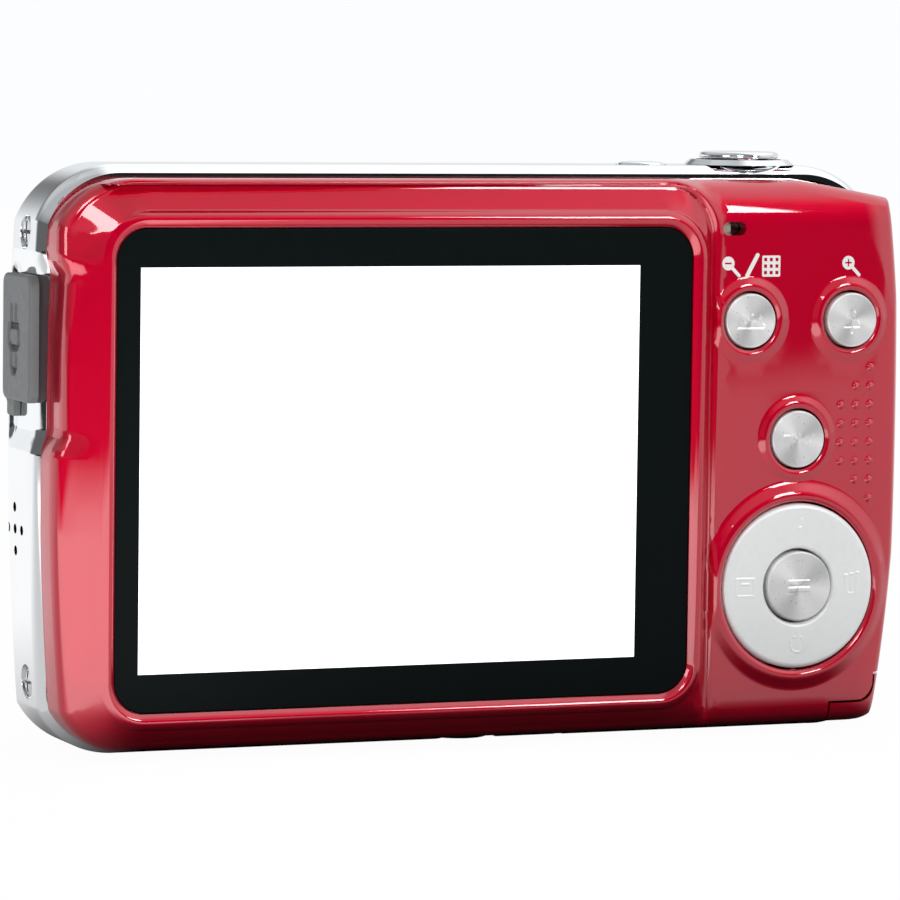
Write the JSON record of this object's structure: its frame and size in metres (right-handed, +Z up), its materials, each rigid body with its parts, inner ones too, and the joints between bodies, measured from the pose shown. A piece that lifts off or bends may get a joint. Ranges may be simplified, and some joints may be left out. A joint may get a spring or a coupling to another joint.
{
  "type": "compact digital camera",
  "caption": "Slim pocket digital camera with a rear screen and push buttons, fixed lens, side socket flap and base door for battery and card.",
  "frame": {"origin": "centre of the tripod socket's mouth, on the base plane", "axes": "+X to the right as seen from behind, +Y from the screen towards the lens, +Z up out of the base"},
  "size_m": [0.0955, 0.0233, 0.0607],
  "materials": {
    "red_paint": "glossy metallic red",
    "chrome_frame": "mirror",
    "aluminium_plate": "satin",
    "screw_steel": "satin",
    "socket_steel": "satin",
    "lug_steel": "satin",
    "screen_glass": "gloss with a black border",
    "lit_panel": "lit white",
    "backlight_tray": "satin",
    "flex": "satin",
    "lamp_clear": "clear",
    "button_metal": "spun",
    "pad_metal": "satin",
    "pivot_steel": "satin",
    "key_rubber": "matte",
    "dome_film": "satin",
    "board_green": "solder mask",
    "chrome_top": "mirror",
    "spring_steel": "satin",
    "switch_black": "matte",
    "lens_chrome": "mirror",
    "lens_black": "matte",
    "lens_glass": "coated",
    "holder_black": "matte",
    "sensor_dark": "gloss",
    "chip_black": "matte",
    "flash_clear": "ribbed",
    "reflector": "mirror",
    "tube_glass": "clear",
    "capacitor_sleeve": "gloss",
    "timer_amber": "clear",
    "mic_metal": "satin",
    "speaker_black": "matte",
    "socket_shell": "satin",
    "flap_rubber": "matte",
    "holder_grey": "matte",
    "battery_sleeve": "matte",
    "contact_gold": "plated",
    "latch_orange": "satin",
    "card_blue": "matte",
    "pin_steel": "satin"
  },
  "bodies": {
    "camera_body": {"rear_cover": "red_paint", "side_frame": "chrome_frame", "front_cover": "red_paint", "chassis": "aluminium_plate", "side_screws": "screw_steel", "base_screws": "screw_steel", "tripod_socket": "socket_steel", "strap_lug": "lug_steel", "lcd_window": "screen_glass", "lcd_panel": "lit_panel", "lcd_backlight": "backlight_tray", "lcd_ribbon": "flex", "status_lamp": "lamp_clear", "key_mat": "key_rubber", "dome_sheet": "dome_film", "key_board": "board_green", "shutter_collar": "chrome_top", "shutter_spring": "spring_steel", "top_board": "board_green", "shutter_switch": "switch_black", "power_switch": "switch_black", "lens_ring": "lens_chrome", "lens_barrel": "lens_black", "lens_window": "lens_glass", "front_lens": "lens_glass", "middle_lens": "lens_glass", "rear_lens": "lens_glass", "lens_holder": "holder_black", "image_sensor": "sensor_dark", "sensor_board": "board_green", "main_board": "board_green", "processor_chip": "chip_black", "memory_chip": "chip_black", "flash_window": "flash_clear", "flash_reflector": "reflector", "flash_tube": "tube_glass", "flash_capacitor": "capacitor_sleeve", "timer_lamp": "timer_amber", "microphone": "mic_metal", "speaker": "speaker_black", "usb_socket": "socket_shell", "battery_holder": "holder_grey", "battery": "battery_sleeve", "battery_contacts": "contact_gold", "card_socket": "socket_shell", "door_hinge_pin": "pin_steel"},
    "zoom_out_button": {"zoom_out_button": "button_metal"},
    "zoom_in_button": {"zoom_in_button": "button_metal"},
    "mode_button": {"mode_button": "button_metal"},
    "four_way_pad": {"four_way_pad": "pad_metal"},
    "pad_pivot": {"pad_pivot": "pivot_steel"},
    "menu_button": {"menu_button": "button_metal"},
    "shutter_button": {"shutter_button": "chrome_top"},
    "power_button": {"power_button": "chrome_top"},
    "usb_flap": {"usb_flap": "flap_rubber"},
    "battery_latch": {"battery_latch": "latch_orange"},
    "memory_card": {"memory_card": "card_blue"},
    "battery_door": {"battery_door": "red_paint"}
  },
  "joints": [
    {"name": "zoom_out_press", "type": "slide", "parent": "camera_body", "child": "zoom_out_button", "axis": [0, 1, 0], "range_m": [0, 0.0004], "stiffness_N_per_m": 600},
    {"name": "zoom_in_press", "type": "slide", "parent": "camera_body", "child": "zoom_in_button", "axis": [0, 1, 0], "range_m": [0, 0.0004], "stiffness_N_per_m": 600},
    {"name": "mode_press", "type": "slide", "parent": "camera_body", "child": "mode_button", "axis": [0, 1, 0], "range_m": [0, 0.0004], "stiffness_N_per_m": 600},
    {"name": "menu_press", "type": "slide", "parent": "camera_body", "child": "menu_button", "axis": [0, 1, 0], "range_m": [0, 0.0004], "stiffness_N_per_m": 600},
    {"name": "pad_tilt_up_down", "type": "hinge", "parent": "camera_body", "child": "pad_pivot", "pos_m": [0.0348, -0.0066, 0.0155], "axis": [1, 0, 0], "range_deg": [-2, 2], "stiffness_Nm_per_rad": 0.5},
    {"name": "pad_tilt_left_right", "type": "hinge", "parent": "pad_pivot", "child": "four_way_pad", "pos_m": [0.0348, -0.0066, 0.0155], "axis": [0, 0, 1], "range_deg": [-2, 2], "stiffness_Nm_per_rad": 0.5},
    {"name": "shutter_press", "type": "slide", "parent": "camera_body", "child": "shutter_button", "axis": [0, 0, -1], "range_m": [0, 0.0006], "stiffness_N_per_m": 500, "deforming": ["shutter_spring"]},
    {"name": "power_press", "type": "slide", "parent": "camera_body", "child": "power_button", "axis": [0, 0, -1], "range_m": [0, 0.0003], "stiffness_N_per_m": 500},
    {"name": "usb_flap_open", "type": "hinge", "parent": "camera_body", "child": "usb_flap", "pos_m": [-0.0471, 0.0028, 0.0343], "axis": [0, -1, 0], "range_deg": [0, 110]},
    {"name": "battery_door_open", "type": "hinge", "parent": "camera_body", "child": "battery_door", "pos_m": [0.0109, 0.0024, 0.00075], "axis": [0, 1, 0], "range_deg": [0, 95]},
    {"name": "battery_latch_release", "type": "slide", "parent": "camera_body", "child": "battery_latch", "axis": [0, 1, 0], "range_m": [0, 0.0013], "stiffness_N_per_m": 150},
    {"name": "card_push", "type": "slide", "parent": "camera_body", "child": "memory_card", "axis": [0, 0, 1], "range_m": [0, 0.001], "stiffness_N_per_m": 300}
  ]
}
